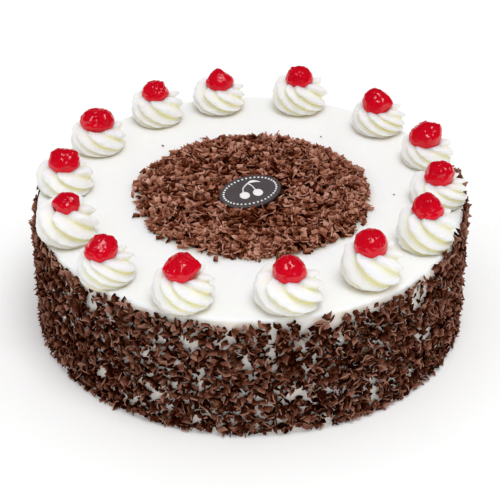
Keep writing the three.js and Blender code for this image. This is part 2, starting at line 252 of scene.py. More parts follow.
# Lumps and dents of each cherry as the photograph shows them: towards the right, up, towards the viewer,
# how far out as a share of the radius, and how wide in radians
CHERRY_LUMPS = {
    1: [
        (1.0, -0.15, 0.2, 0.07, 0.35), (0.85, 0.35, 0.3, -0.07, 0.3), (0.35, 0.1, 0.95, -0.08, 0.25),
        (0.5, -0.3, 0.8, 0.05, 0.25),
    ],
    2: [
        (-0.15, 1.0, 0.2, 0.1, 0.4), (0.55, 0.8, 0.2, -0.11, 0.4), (1.0, 0.1, 0.2, 0.1, 0.35),
        (-0.75, 0.65, 0.2, -0.06, 0.35), (-1.0, 0.05, 0.2, 0.05, 0.3), (0.1, 0.35, 0.95, -0.07, 0.3),
    ],
    3: [
        (0.0, 0.5, 0.85, -0.08, 0.25), (0.5, 0.2, 0.85, -0.08, 0.25), (0.2, 0.1, 1.0, 0.05, 0.2),
        (-0.4, 0.3, 0.85, 0.05, 0.25),
    ],
    4: [
        (-0.25, 1.0, 0.2, 0.12, 0.45), (1.0, 0.0, 0.2, 0.2, 0.35), (0.7, -0.7, 0.4, -0.2, 0.5),
        (0.2, 0.2, 0.95, -0.08, 0.3), (-0.2, 0.4, 0.9, 0.05, 0.25),
    ],
    5: [
        (0.75, 0.65, 0.2, 0.12, 0.5), (-0.65, 0.75, 0.2, -0.12, 0.5), (-0.95, -0.2, 0.2, 0.06, 0.4),
        (0.8, -0.6, 0.3, -0.07, 0.4), (0.3, 0.3, 0.9, -0.09, 0.25), (-0.2, 0.4, 0.9, 0.05, 0.25),
        (0.5, -0.1, 0.85, 0.05, 0.25),
    ],
    6: [
        (0.8, 0.75, 0.1, 0.14, 0.4), (-0.6, 0.8, 0.2, 0.06, 0.35), (-0.95, -0.45, 0.2, 0.12, 0.4),
        (0.85, -0.5, 0.3, -0.1, 0.4), (-0.95, 0.3, 0.2, -0.06, 0.3), (0.0, 0.3, 1.0, 0.08, 0.2),
        (0.3, -0.1, 0.95, -0.09, 0.2), (-0.35, 0.0, 0.95, -0.09, 0.2), (0.5, 0.5, 0.8, 0.06, 0.2),
    ],
    7: [
        (-0.1, 1.0, 0.2, 0.05, 0.5), (0.75, 0.6, 0.2, -0.1, 0.45), (1.0, -0.35, 0.3, 0.08, 0.4),
        (-0.95, -0.1, 0.2, 0.05, 0.4), (0.0, 0.35, 0.95, 0.05, 0.35), (0.15, -0.25, 1.0, -0.12, 0.35),
    ],
    8: [(-0.9, 0.0, 0.4, 0.04, 0.6), (0.35, 0.6, 0.75, -0.08, 0.35)],
    9: [
        (-0.4, 0.9, 0.3, 0.07, 0.5), (1.0, -0.05, 0.2, 0.07, 0.4), (0.75, 0.65, 0.2, -0.06, 0.4),
        (-0.1, 0.3, 0.95, -0.09, 0.22), (0.25, 0.1, 0.97, -0.09, 0.22), (0.1, 0.25, 0.95, 0.06, 0.15),
    ],
    10: [
        (1.0, 0.25, 0.2, 0.22, 0.35), (0.8, -0.65, 0.35, -0.22, 0.5), (-0.05, 1.0, 0.2, 0.06, 0.5),
        (-1.0, -0.05, 0.2, 0.1, 0.4), (-0.7, 0.65, 0.3, -0.07, 0.4), (-0.3, 0.1, 0.95, -0.09, 0.22),
        (0.4, 0.1, 0.9, -0.1, 0.25), (0.05, 0.0, 1.0, 0.06, 0.2),
    ],
    11: [
        (-0.95, -0.5, 0.3, 0.16, 0.45), (0.75, 0.65, 0.2, 0.14, 0.45), (-0.7, 0.7, 0.3, -0.13, 0.45),
        (0.8, -0.65, 0.3, -0.13, 0.45), (0.1, 0.2, 0.97, -0.1, 0.3), (-0.4, -0.1, 0.9, -0.07, 0.22),
    ],
    12: [
        (-0.95, -0.45, 0.3, -0.3, 0.3), (-0.95, 0.25, 0.3, 0.06, 0.35), (0.75, 0.7, 0.2, 0.1, 0.45),
        (0.1, 0.15, 1.0, 0.09, 0.6), (-0.08, 0.1, 1.0, -0.15, 0.2), (0.25, 0.22, 0.95, -0.15, 0.2),
    ],
    13: [
        (-0.75, 0.7, 0.3, 0.1, 0.35), (0.85, 0.65, 0.3, 0.12, 0.35), (0.95, -0.4, 0.3, 0.08, 0.35),
        (-0.9, -0.3, 0.3, 0.05, 0.35), (0.05, 1.0, 0.2, -0.05, 0.4), (-0.1, 0.2, 1.0, 0.07, 0.25),
        (0.4, 0.2, 0.9, -0.06, 0.35),
    ],
    14: [
        (0.0, 1.0, 0.3, -0.12, 0.25), (0.0, 0.6, 0.8, -0.2, 0.22), (0.02, 0.2, 1.0, -0.22, 0.22),
        (0.05, -0.15, 1.0, -0.15, 0.22), (0.55, 0.4, 0.75, 0.1, 0.4), (-0.55, 0.35, 0.75, 0.08, 0.4),
    ],
}


# Mesh helpers

def add_object(name, data):
    made = bpy.data.objects.new(name, data)
    bpy.context.scene.collection.objects.link(made)
    return made


def make_piece(name, vertices, faces, finish, replaced, sharp=None, values=None, face_values=None):
    """A mesh piece on the one body: smooth, with edges sharper than an angle kept, and float attributes of
    its points and faces."""
    mesh = bpy.data.meshes.new(name)
    mesh.from_pydata(vertices.tolist(), [], faces)
    mesh.validate()
    mesh.shade_smooth()
    if sharp is not None:
        mesh.set_sharp_from_angle(angle=sharp)
    for domain, layers in (("POINT", values), ("FACE", face_values)):
        for attribute, data in (layers or {}).items():
            layer = mesh.attributes.new(attribute, "FLOAT", domain)
            layer.data.foreach_set("value", np.asarray(data, np.float32))
    mesh.materials.append(finish)
    piece = add_object(name, mesh)
    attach(piece, "root")
    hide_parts(replaced)


def bearings(columns):
    """Even bearings around an axis, in radians."""
    return np.linspace(0, 2 * math.pi, columns, endpoint=False)


def turned_points(radius, height, around):
    """Points around +Z, row after row, from the radius and height of the rows and bearings along them."""
    grid = np.stack([radius * np.cos(around), radius * np.sin(around), height + 0 * around], axis=-1)
    return grid.reshape(-1, 3)


def ring_faces(rows, columns):
    """Faces of a closed surface made of rows of points around an axis, with a single point at each end.
    The points are the first pole, the rows one after another, and the last pole."""
    faces = []
    for row in range(rows - 1):
        start = 1 + row * columns
        for column in range(columns):
            after = (column + 1) % columns
            faces.append((start + column, start + after, start + columns + after, start + columns + column))
    last = 1 + (rows - 1) * columns
    for column in range(columns):
        after = (column + 1) % columns
        faces.append((0, 1 + after, 1 + column))
        faces.append((last + columns, last + column, last + after))
    return faces


def smooth_curve(points, count):
    """Points along a Catmull-Rom curve through the given ones."""
    padded = np.vstack([2 * points[0] - points[1], points, 2 * points[-1] - points[-2]])
    position = np.linspace(0, len(points) - 1, count)
    step = np.minimum(position.astype(int), len(points) - 2)
    f = (position - step)[:, None]
    a, b, c, d = (padded[step + k] for k in range(4))
    return 0.5 * (2 * b + (c - a) * f + (2 * a - 5 * b + 4 * c - d) * f**2 + (3 * b - a - 3 * c + d) * f**3)


def read_off(table, places):
    """Values of a table at places between its keys."""
    return np.interp(places, list(table), list(table.values()))


def noise_at(points, scale, seed):
    """Smooth noise from -1 to 1 at each point, scale being the number of waves in a unit of length."""
    shift = Vector([seed * step for step in NOISE_SHIFT])
    return np.array([noise.noise(Vector(p) * scale + shift) for p in points])


def half_width(low, high):
    """Half of a box's larger width."""
    return max(high.x - low.x, high.y - low.y) / 2


# Materials

class Finish:
    """A node material around one Principled shader, mapped by the part's own coordinates in metres."""

    def __init__(self, name, constants):
        self.material = bpy.data.materials.new(name)
        self.material.use_nodes = True
        self.tree = self.material.node_tree
        self.shader = self.tree.nodes["Principled BSDF"]
        self.place = self.tree.nodes.new("ShaderNodeTexCoord").outputs["Object"]
        for socket, value in constants.items():
            self.shader.inputs[socket].default_value = value

    def node(self, kind, inputs=(), **settings):
        made = self.tree.nodes.new(kind)
        for key, value in settings.items():
            setattr(made, key, value)
        for key, value in dict(inputs).items():
            if isinstance(value, bpy.types.NodeSocket):
                self.tree.links.new(value, made.inputs[key])
            else:
                made.inputs[key].default_value = value
        return made

    def noise(self, scale, detail, roughness=0.5, distortion=0.0):
        inputs = {"Vector": self.place, "Scale": scale, "Detail": detail}
        inputs |= {"Roughness": roughness, "Distortion": distortion}
        return self.node("ShaderNodeTexNoise", inputs).outputs["Fac"]

    def attribute(self, name):
        return self.node("ShaderNodeAttribute", attribute_name=name).outputs["Fac"]

    def mix(self, a, b, share):
        made = self.node("ShaderNodeMix", {"Factor": share, "A": a, "B": b}, data_type="FLOAT")
        return made.outputs["Result"]

    def ramp(self, value, stops):
        made = self.node("ShaderNodeValToRGB", {"Fac": value})
        elements = made.color_ramp.elements
        while len(elements) < len(stops):
            elements.new(0.5)
        for element, (position, colour) in zip(elements, stops):
            element.position = position
            element.color = (*colour, 1)
        return made.outputs["Color"]

    def grey_ramp(self, value, low, high):
        return self.ramp(value, [(0.3, (low,) * 3), (0.7, (high,) * 3)])

    def put(self, socket, value):
        self.tree.links.new(value, self.shader.inputs[socket])

    def bump(self, height, distance, strength):
        made = self.node("ShaderNodeBump", {"Height": height, "Distance": distance, "Strength": strength})
        self.put("Normal", made.outputs["Normal"])


def cream_depth(weight, depth):
    """How far light goes into cream."""
    return {"Subsurface Weight": weight, "Subsurface Scale": depth, "Subsurface Radius": (1.0, 0.9, 0.7)}


def cream_coat_finish():
    finish = Finish("cream_coat", {"Specular IOR Level": 0.35, **cream_depth(0.7, 9 * MM)})
    painted_shade = finish.mix(finish.attribute("painted_shade"), finish.noise(120, 4), 0.15)
    # The colour darkens towards warm brown as a painted shade: beside the heap, around the rosettes' feet and
    # on the side
    colours = [(0.06, (0.945, 0.944, 0.940)), (0.14, (0.935, 0.93, 0.92)), (0.9, (0.80, 0.66, 0.50))]
    finish.put("Base Color", finish.ramp(painted_shade, colours))
    finish.put("Roughness", finish.grey_ramp(finish.noise(160, 4), 0.42, 0.6))
    finish.bump(finish.noise(420, 6, 0.6), 0.25 * MM, 0.35)
    return finish.material


def piped_cream_finish():
    finish = Finish("piped_cream", {"Specular IOR Level": 0.35, **cream_depth(0.8, 11 * MM)})
    # Painted shade: the cream is darker and yellower in the grooves and at the foot
    depth = finish.mix(finish.attribute("groove"), finish.noise(300, 3), 0.18)
    colours = [(0.1, (0.97, 0.966, 0.95)), (0.42, (0.965, 0.945, 0.84)), (0.8, (0.94, 0.865, 0.45))]
    finish.put("Base Color", finish.ramp(depth, colours))
    finish.put("Roughness", finish.grey_ramp(finish.noise(500, 3), 0.42, 0.58))
    finish.bump(finish.noise(1400, 5, 0.6), 0.12 * MM, 0.4)
    return finish.material


def chocolate_finish(name, tones, edge_tone):
    finish = Finish(name, {"Specular IOR Level": 0.0})
    # The tone attribute holds each shaving's random tone with painted shade deep in and painted light where it
    # stands out; fine grain is mixed in
    shade_and_grain = finish.mix(finish.attribute("tone"), finish.noise(700, 4, 0.6), 0.2)
    broken = finish.attribute("broken")
    tone = finish.node("ShaderNodeMath", {0: broken, 1: edge_tone, 2: shade_and_grain}, operation="MULTIPLY_ADD")
    finish.put("Base Color", finish.ramp(tone.outputs["Value"], tones))
    finish.put("Roughness", finish.grey_ramp(finish.noise(900, 3), 0.36, 0.55))
    finish.bump(finish.noise(2200, 4, 0.6), 0.08 * MM, 0.5)
    return finish.material


def cherry_finish():
    depth = {"Subsurface Weight": 0.2, "Subsurface Scale": 3 * MM, "Subsurface Radius": (1.0, 0.12, 0.08)}
    finish = Finish("glazed_cherry", depth)
    low_down = finish.attribute("depth")
    # Painted light: darker red at the top and brighter red low down, a painted glow of light through the fruit,
    # with random tone mixed in
    painted_glow_and_tone = finish.mix(low_down, finish.noise(180, 4, 0.6), 0.35)
    colours = [(0.2, (0.53, 0.001, 0.011)), (0.5, (0.74, 0.001, 0.016)), (0.8, (0.90, 0.006, 0.024))]
    finish.put("Base Color", finish.ramp(painted_glow_and_tone, colours))
    finish.put("Specular IOR Level", finish.grey_ramp(low_down, 0.6, 0.06))
    finish.put("Roughness", finish.grey_ramp(finish.noise(400, 3), 0.08, 0.16))
    finish.bump(finish.noise(380, 2, 0.5, 1.0), 0.4 * MM, 0.4)
    return finish.material


def plaque_finish():
    finish = Finish("plaque_chocolate", {"Specular IOR Level": 0.4})
    colours = [(0.3, (0.070, 0.057, 0.061)), (0.7, (0.088, 0.073, 0.078))]
    finish.put("Base Color", finish.ramp(finish.noise(260, 5, 0.6), colours))
    finish.put("Roughness", finish.grey_ramp(finish.noise(800, 3), 0.38, 0.55))
    finish.bump(finish.noise(1800, 4), 0.06 * MM, 0.4)
    return finish.material


def icing_finish():
    finish = Finish("white_icing", {"Specular IOR Level": 0.4})
    colours = [(0.3, (0.80, 0.78, 0.77)), (0.7, (0.88, 0.87, 0.86))]
    finish.put("Base Color", finish.ramp(finish.noise(900, 3), colours))
    finish.put("Roughness", finish.grey_ramp(finish.noise(1200, 2), 0.35, 0.5))
    return finish.material


def floor_finish():
    finish = Finish("pale_floor", {"Emission Color": (1, 1, 1, 1), "Emission Strength": 0.09})
    finish.put("Base Color", finish.grey_ramp(finish.noise(3, 2), 0.96, 0.97))
    finish.put("Roughness", finish.grey_ramp(finish.noise(8, 2), 0.7, 0.8))
    return finish.material


# The cream coat

def coat_painted_shade(points):
    """How much painted shade the coat has at each point: brownish beside the heap, paler around the rosettes'
    feet, and all over its side.
    """
    near_heap = np.clip(1 - (from_heap_axis(points) - HEAP_RADIUS) / SHADE_WIDTH, 0, 1)
    by_rosette = np.zeros(len(points))
    for x, y, half in rosette_stands():
        gap = np.hypot(points[:, 0] - x, points[:, 1] - y) - ROSETTE_COVER * half
        by_rosette = np.maximum(by_rosette, ROSETTE_SHADE * np.clip(1 - gap / SHADE_WIDTH, 0, 1))
    on_top = np.maximum(HEAP_SHADE * near_heap**2, by_rosette) * (points[:, 2] > SIDE_TOP)
    rim = CREAM_TOP - 0.6 * CREAM_ROUND
    on_side = SIDE_SHADE * np.clip((rim - points[:, 2]) / MM, 0, 1)
    return np.maximum(on_top, on_side)


def cream_coat(finish):
    """The smoothed cream: a turned form with a soft top edge, as uneven as a spatula leaves it."""
    core = CREAM_RADIUS - CREAM_ROUND
    side = [(CREAM_RADIUS - CREAM_EASE, 0), (CREAM_RADIUS, CREAM_EASE)]
    levels = np.linspace(CREAM_FIRST_ROW, CREAM_TOP - CREAM_ROUND, CREAM_SIDE_ROWS)
    side += [(CREAM_RADIUS, level) for level in levels]
    angles = np.radians(np.linspace(0, 90, CREAM_RIM_ROWS))[1:]
    rim = [(core + CREAM_ROUND * math.cos(a), CREAM_TOP - CREAM_ROUND * (1 - math.sin(a))) for a in angles]
    top = [(radius, CREAM_TOP) for radius in np.linspace(core, CREAM_LAST_RING, CREAM_TOP_RINGS)[1:]]
    profile = np.array(side + rim + top)
    points = turned_points(profile[:, :1], profile[:, 1:], bearings(CREAM_COLUMNS))
    wave = COAT_WAVE * (noise_at(points, 24, 1) + 0.35 * noise_at(points, 90, 2))
    reach = np.linalg.norm(points[:, :2], axis=1)
    outward = points * (1, 1, 0) / reach[:, None]
    raised = points[:, 2] > CREAM_TOP - CREAM_ROUND
    points = points + outward * (wave * (reach > core))[:, None]
    points[:, 2] += wave * raised
    vertices = np.vstack([[(0, 0, 0)], points, [(0, 0, CREAM_TOP)]])
    faces = ring_faces(len(profile), CREAM_COLUMNS)
    # Painted shade beside the heap and the rosettes and on the side, kept on the points
    painted_shade = {"painted_shade": coat_painted_shade(vertices)}
    make_piece("cream_coat", vertices, faces, finish, "cake", values=painted_shade)


# Chocolate shavings

def shaving_shapes(random, count, kind):
    """Curled shards in their own frames: vertices (count, 4 * stations, 3) in metres, middle at the origin,
    facing +Z. Each station across a shard has a left and a right point on its upper and on its lower face."""
    stations = kind["stations"]
    length = random.uniform(*kind["length"], (count, 1)) * MM
    width = random.uniform(*kind["width"], (count, 1)) * MM
    bend = random.uniform(*kind["radius"], (count, 1)) * MM * random.choice([-1, 1], (count, 1))
    thick = random.uniform(*SHAVING_THICKNESS, (count, 1)) * MM
    share = np.linspace(0, 1, stations)
    along = length * (share - 0.5)
    half = width / 2 * (1 - share * random.uniform(*SHAVING_TAPER, (count, 1)))
    half *= random.uniform(*SHAVING_NICKS, (count, stations))
    middle = width * (share - 0.5) * random.uniform(*SHAVING_SWERVE, (count, 1))
    skew = length * random.uniform(*SHAVING_SKEW, (count, 1))
    corners = []
    for face in (0.5, -0.5):
        reach = bend - face * thick
        for edge in (1, -1):
            angle = (along + edge * skew) / bend
            corner = [reach * np.sin(angle), middle + edge * half, bend - reach * np.cos(angle)]
            corners.append(np.stack(corner, axis=-1))
    return np.stack(corners, axis=2).reshape(count, 4 * stations, 3)


def shaving_faces(stations):
    """Faces of one shard, and 1 for those on its broken edges. At each station the points are upper left,
    upper right, lower left and lower right."""
    broad, edges = [], [(0, 1, 3, 2)]
    for station in range(stations - 1):
        a = 4 * station
        b = a + 4
        broad += [(a, b, b + 1, a + 1), (a + 2, a + 3, b + 3, b + 2)]
        edges += [(a, a + 2, b + 2, b), (a + 1, b + 1, b + 3, a + 3)]
    end = 4 * (stations - 1)
    edges.append((end, end + 2, end + 3, end + 1))
    return np.array(broad + edges), np.array([0.0] * len(broad) + [1.0] * len(edges))


def turned_frames(random, normals, spread):
    """Random frames as (count, 3, 3), axes as columns, the third within about a spread of each normal."""
    facing = normals + spread * random.normal(size=normals.shape)
    facing /= np.linalg.norm(facing, axis=1)[:, None]
    along = np.cross(facing, random.normal(size=normals.shape))
    along /= np.linalg.norm(along, axis=1)[:, None]
    return np.stack([along, np.cross(facing, along), facing], axis=-1)


def scatter_piece(name, replaced, finish, random, kind, places, normals, spread, keep, outness):
    """One piece of many shards at their places, without those that keep() refuses, none of them below the
    floor. Each shard has its own tone, painted darker deep in as shade and paler where outness() of a point
    nears 1 as painted light."""
    shapes = shaving_shapes(random, len(places), kind)
    frames = turned_frames(random, normals, spread)
    shards = np.einsum("nij,nkj->nki", frames, shapes) + places[:, None]
    tone = random.uniform(*TONE_SPREAD, (len(places), 1))
    lowest = shards[:, :, 2].min(1)
    shards[:, :, 2] += np.clip(FLOOR_GAP - lowest, 0, None)[:, None]
    kept = keep(shards)
    shards = shards[kept]
    shape, broken = shaving_faces(kind["stations"])
    starts = shards.shape[1] * np.arange(len(shards))
    faces = shape[None] + starts[:, None, None]
    # Painted shade and light: deep shavings darker, those standing out paler
    painted_light = TONE_RISE * np.clip(outness(shards), 0, MOST_OUTNESS)
    tones = np.clip(TONE_INSIDE + painted_light + tone[kept], 0, 1)
    make_piece(
        name,
        shards.reshape(-1, 3),
        faces.reshape(-1, 4).tolist(),
        finish,
        replaced,
        sharp=SHAVING_CREASE,
        values={"tone": tones.reshape(-1)},
        face_values={"broken": np.tile(broken, len(shards))},
    )


def rosette_stands():
    """Each rosette's axis on the cake and its half width."""
    stands = []
    for number in TOPPINGS:
        low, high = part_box(f"rosette_{number:02d}")
        stands.append(((low.x + high.x) / 2, (low.y + high.y) / 2, half_width(low, high)))
    return stands


def clear_of_rosettes(shards):
    """Which shards stay below the rosettes or stand beside them."""
    clear = np.ones(len(shards), bool)
    high = shards[:, :, 2] > CREAM_TOP - ROSETTE_SINK
    for x, y, half in rosette_stands():
        near = np.hypot(shards[:, :, 0] - x, shards[:, :, 1] - y) < ROSETTE_CLEAR * half
        clear &= ~(near & high).any(1)
    return clear


def side_places(random, count, layer):
    """Places spread over the side in a jittered grid, fewer in patches, below an uneven upper line, and the
    outward directions there. The layer is a range of depths, from 0 on the cream to 1 at SIDE_DEPTH."""
    rows = round(math.sqrt(count * SIDE_TOP / (2 * math.pi * CREAM_RADIUS)))
    columns = round(count / rows)
    row, column = np.divmod(np.arange(rows * columns), columns)
    angle = (column + random.uniform(*SIDE_JITTER, len(row))) / columns * 2 * math.pi
    uneven = SIDE_RAGGED * (np.sin(9 * angle + 1) + np.sin(23 * angle) + 0.7 * np.sin(41 * angle + 2)) / 2
    uneven += MM * read_off(SIDE_TOP_SHIFT, np.degrees(angle) % 360)
    height = (row + random.uniform(*SIDE_JITTER, len(row))) / rows * (SIDE_TOP + uneven)
    outward = np.stack([np.cos(angle), np.sin(angle), 0 * angle], axis=-1)
    reach = CREAM_RADIUS + SIDE_DEPTH * random.uniform(*layer, len(row))
    places = outward * reach[:, None]
    places[:, 2] = height
    cover = np.clip(PATCH_COVER + PATCH_SWING * noise_at(places, PATCHES, 8), PATCH_LEAST, 1)
    kept = random.uniform(0, 1, len(row)) < cover
    return places[kept], outward[kept]


def side_outness(points):
    """0 on the cream of the side, 1 where its shavings end, and more along their upper line: painted shade deep
    in, painted light outside and along the top.
    """
    outer = (np.hypot(points[..., 0], points[..., 1]) - CREAM_RADIUS) / SIDE_REACH
    near_line = np.clip((points[..., 2] - SIDE_TOP) / SIDE_LINE_WIDTH + 0.8, 0, 1)
    return outer + SIDE_LINE_LIGHT * near_line


def side_shavings(finish):
    for name, (kind, count, layer, spread, seed) in SIDE_SCATTERS.items():
        random = np.random.default_rng(seed)
        places, outward = side_places(random, count, layer)
        keep, outness = clear_of_rosettes, side_outness
        scatter_piece(name, "cake", finish, random, kind, places, outward, spread, keep, outness)


def from_heap_axis(points):
    return np.hypot(points[..., 0] - HEAP_AXIS[0], points[..., 1] - HEAP_AXIS[1])


def crown(radius):
    """Height of the heap of shavings above the cream, inside its sloping edge."""
    share = np.clip(radius / HEAP_RADIUS, 0, 1)
    return HEAP_EDGE + (HEAP_MIDDLE - HEAP_EDGE) * (1 - share**2)


def heap_level(radius, share):
    """Height at a share of the way up from the heap's lowest shavings to its top."""
    inner = np.clip((HEAP_RADIUS - radius) / HEAP_SLOPE, 0, 1)
    return CREAM_TOP + HEAP_LOWEST + share * (crown(radius) - HEAP_LOWEST) * inner


def plaque_frame():
    """The plaque's middle and its axes as columns."""
    low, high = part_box("plaque")
    tilt_cos, tilt_sin = math.cos(PLAQUE_TILT), math.sin(PLAQUE_TILT)
    tilt = np.array([[1, 0, 0], [0, tilt_cos, -tilt_sin], [0, tilt_sin, tilt_cos]])
    turn_cos, turn_sin = math.cos(PLAQUE_TURN), math.sin(PLAQUE_TURN)
    turn = np.array([[turn_cos, -turn_sin, 0], [turn_sin, turn_cos, 0], [0, 0, 1]])
    return np.array((low + high) / 2), tilt @ turn


def clear_of_plaque(shards):
    """Which shards lie under the plaque or beside it."""
    middle, axes = plaque_frame()
    local = (shards - middle) @ axes
    oval = (local[:, :, 0] / PLAQUE_HALF[0]) ** 2 + (local[:, :, 1] / PLAQUE_HALF[1]) ** 2
    above = local[:, :, 2] > -PLAQUE_THICKNESS / 2 - PLAQUE_GAP
    return ~((oval < PLAQUE_COVER) & above).any(1)


def heap_places(random, count, layer):
    """Places through a layer of the heap, given as shares of its height, with a ragged edge and a few strays
    on the cream."""
    share = np.sqrt(random.uniform(0, 1, count))
    angle = random.uniform(0, 2 * math.pi, count)
    ragged = HEAP_RAGGED * (np.sin(7 * angle) + np.sin(17 * angle + 1) + np.sin(29 * angle + 2)) / 2
    stray = np.where(random.uniform(0, 1, count) < STRAYS, random.uniform(0, STRAY_REACH, count), 0)
    radius = share * (HEAP_RADIUS - HEAP_DRAWN_IN + ragged) + stray
    radius += HEAP_SCATTER * random.normal(size=count)
    height = heap_level(radius, random.uniform(*layer, count))
    x = HEAP_AXIS[0] + radius * np.cos(angle)
    y = HEAP_AXIS[1] + radius * np.sin(angle)
    return np.stack([x, y, height], axis=-1)


def heap_core(finish):
    """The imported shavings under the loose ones: a low bumpy round."""
    share = np.concatenate([[1.0, 1.0], np.linspace(0.985, 0.04, CORE_ROWS - 2)])
    radius = CORE_RADIUS * share[:, None]
    inner = np.clip((HEAP_RADIUS - radius) / CORE_SLOPE, 0, 1)
    height = CREAM_TOP + CORE_SHARE * crown(radius) * inner
    height[0] = CREAM_TOP - CORE_SINK
    height[1] = CREAM_TOP + CORE_SINK
    points = turned_points(radius, height, bearings(CORE_COLUMNS)) + (*HEAP_AXIS, 0)
    bump = noise_at(points, 260, 3)
    points[CORE_COLUMNS:, 2] += CORE_BUMP * bump[CORE_COLUMNS:]
    below = (*HEAP_AXIS, CREAM_TOP - CORE_SINK)
    above = (*HEAP_AXIS, CREAM_TOP + CORE_SHARE * HEAP_MIDDLE)
    vertices = np.vstack([below, points, above])
    faces = ring_faces(CORE_ROWS, CORE_COLUMNS)
    # The core gets the darkest tone, a painted shade under the loose shavings
    tones = {"tone": np.zeros(len(vertices))}
    make_piece("heap_core", vertices, faces, finish, "shavings_heap", values=tones)


def heap_outness(points):
    """0 deep in the heap, 1 where a shaving stands out of it, for painted shade deep in and painted light on
    top.
    """
    upper = heap_level(from_heap_axis(points), HEAP_UPPER)
    return HEAP_UPPER_OUTNESS + (points[..., 2] - upper) / HEAP_FADE


def heap_shavings(finish):
    for name, (kind, count, layer, spread, seed) in HEAP_SCATTERS.items():
        random = np.random.default_rng(seed)
        places = heap_places(random, count, layer)
        upward = np.tile((0.0, 0.0, 1.0), (len(places), 1))
        keep, outness = clear_of_plaque, heap_outness
        scatter_piece(name, "shavings_heap", finish, random, kind, places, upward, spread, keep, outness)


def crumb_outness(points):
    """The same for every crumb."""
    return np.full(points.shape[:2], CRUMB_OUTNESS)


def crumbs(finish):
    """A few crumbs of chocolate on the cream between the heap and the rosettes."""
    random = np.random.default_rng(CRUMB_SEED)
    angle = random.uniform(0, 2 * math.pi, CRUMBS)
    radius = random.uniform(*CRUMB_RING, CRUMBS) * MM
    places = turned_points(radius, CREAM_TOP + CRUMB_LIFT, angle)
    upward = np.tile((0.0, 0.0, 1.0), (CRUMBS, 1))
    keep, outness = clear_of_rosettes, crumb_outness
    scatter_piece("crumbs", "cake", finish, random, CRUMB, places, upward, CRUMB_SPREAD, keep, outness)


# Piped rosettes

def ridge_wave(random):
    """The number of a rosette's ridges, bearings around it and the height of the cream there, from 1 on a
    rounded crest to 0 in a narrower groove. No two ridges are as wide."""
    share = np.arange(RIDGE_COLUMNS) / RIDGE_COLUMNS
    ridges = random.choice(RIDGES)
    widths = random.uniform(*RIDGE_WIDTHS, ridges)
    starts = np.concatenate([[0], np.cumsum(widths)[:-1]])
    around = (starts[:, None] + widths[:, None] * share).reshape(-1) * 2 * math.pi / widths.sum()
    return ridges, around, np.tile((0.5 + 0.5 * np.cos(2 * math.pi * share)) ** RIDGE_ROUND, ridges)


def rosette_profile(number, half, height, seat):
    """Radius and height of each row, from the foot up the outside and over the crown into the seat."""
    foot = ROSETTE_FOOT[number]
    widest = ROSETTE_OUTLINE[0][0]
    lower = [(foot + share * (widest - foot), level) for share, level in ROSETTE_SWELL]
    corners = np.array(lower + ROSETTE_OUTLINE) * (half, height)
    outline = smooth_curve(np.vstack([corners, seat[:1]]), ROSETTE_ROWS)
    return np.vstack([outline, seat[1:]])


